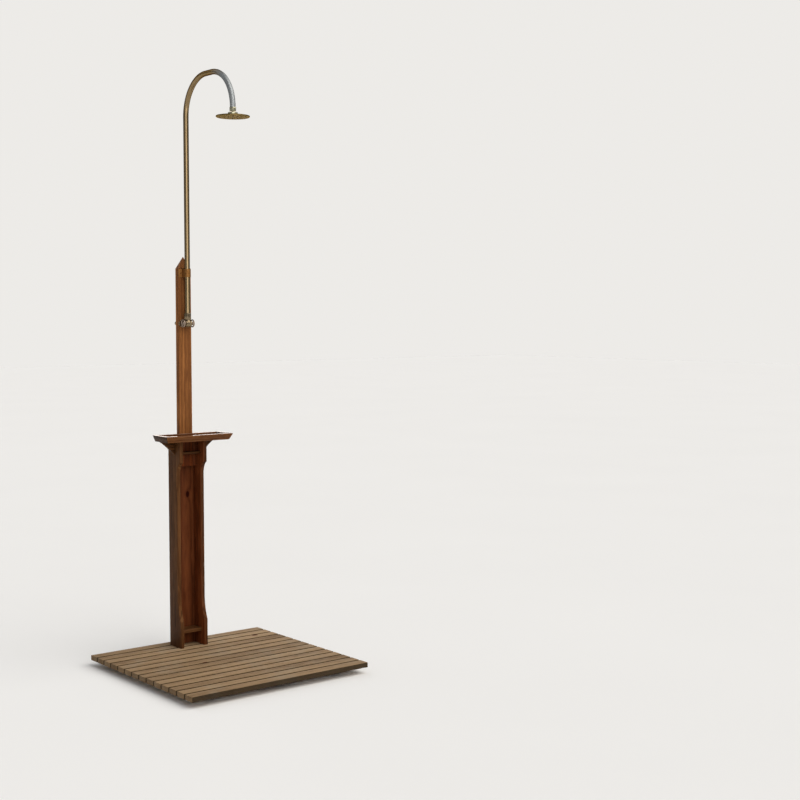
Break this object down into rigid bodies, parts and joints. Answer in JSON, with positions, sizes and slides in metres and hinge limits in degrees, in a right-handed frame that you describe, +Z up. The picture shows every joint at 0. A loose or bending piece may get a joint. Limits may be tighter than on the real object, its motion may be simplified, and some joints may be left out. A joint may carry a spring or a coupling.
{
  "type": "outdoor shower post",
  "caption": "Freestanding garden shower: a slatted square deck, a wooden column with a tray, a two-tap valve, a gooseneck riser and a tilting round head.",
  "frame": {"origin": "on the ground, under the middle of the deck", "axes": "+X to the right as one faces the post, +Y from the front of the deck to the back, +Z up"},
  "size_m": [0.8, 0.8, 2.393],
  "materials": {
    "deck_wood": "weathered, bare",
    "column_wood": "oiled, satin",
    "post_wood": "oiled, satin",
    "pipe_bronze": "aged, polished",
    "fitting_brass": "polished",
    "plate_steel": "brushed",
    "seal_rubber": "matt",
    "nozzle_silicone": "matt"
  },
  "bodies": {
    "post": {"deck_slat_01": "deck_wood", "deck_slat_02": "deck_wood", "deck_slat_03": "deck_wood", "deck_slat_04": "deck_wood", "deck_slat_05": "deck_wood", "deck_slat_06": "deck_wood", "deck_slat_07": "deck_wood", "deck_slat_08": "deck_wood", "deck_slat_09": "deck_wood", "deck_slat_10": "deck_wood", "deck_slat_11": "deck_wood", "deck_slat_12": "deck_wood", "deck_slat_13": "deck_wood", "deck_slat_14": "deck_wood", "deck_bearer_left": "deck_wood", "deck_base_plank": "deck_wood", "deck_bearer_right": "deck_wood", "left_cheek": "column_wood", "right_cheek": "column_wood", "back_panel": "column_wood", "foot_ledge": "column_wood", "cubby_shelf": "column_wood", "upper_post": "post_wood", "post_packer_left": "column_wood", "post_packer_right": "column_wood", "tray_front_rail": "column_wood", "tray_end_rail_left": "column_wood", "tray_end_rail_right": "column_wood", "tray_back_rail": "column_wood", "tray_floor": "column_wood", "tray_bracket_left": "column_wood", "tray_bracket_right": "column_wood", "riser_pipe": "pipe_bronze", "saddle_block": "post_wood", "saddle_strap": "pipe_bronze", "valve_body": "fitting_brass", "valve_back_plate": "plate_steel", "lock_nuts": "fitting_brass", "union_nut": "fitting_brass", "headwork_left": "fitting_brass", "headwork_right": "fitting_brass", "swivel_nut": "fitting_brass"},
    "left_tap": {"spindle_left": "fitting_brass", "handwheel_left": "fitting_brass"},
    "right_tap": {"spindle_right": "fitting_brass", "handwheel_right": "fitting_brass"},
    "swivel_seal": {"ball_seal": "seal_rubber"},
    "head": {"swivel_ball": "pipe_bronze", "head_shell": "pipe_bronze", "head_face_plate": "pipe_bronze", "head_nozzles": "nozzle_silicone"}
  },
  "joints": [
    {"name": "left_tap_turn", "type": "hinge", "parent": "post", "child": "left_tap", "pos_m": [0, 0.29, 1.387], "axis": [-1, 0, 0], "range_deg": [0, 90]},
    {"name": "right_tap_turn", "type": "hinge", "parent": "post", "child": "right_tap", "pos_m": [0, 0.29, 1.387], "axis": [1, 0, 0], "range_deg": [0, 90]},
    {"name": "head_turn", "type": "hinge", "parent": "post", "child": "swivel_seal", "pos_m": [0, -0.067, 2.217], "axis": [0, 0, 1], "continuous": true},
    {"name": "head_tilt", "type": "hinge", "parent": "swivel_seal", "child": "head", "pos_m": [0, -0.067, 2.217], "axis": [1, 0, 0], "range_deg": [-12, 12]}
  ]
}
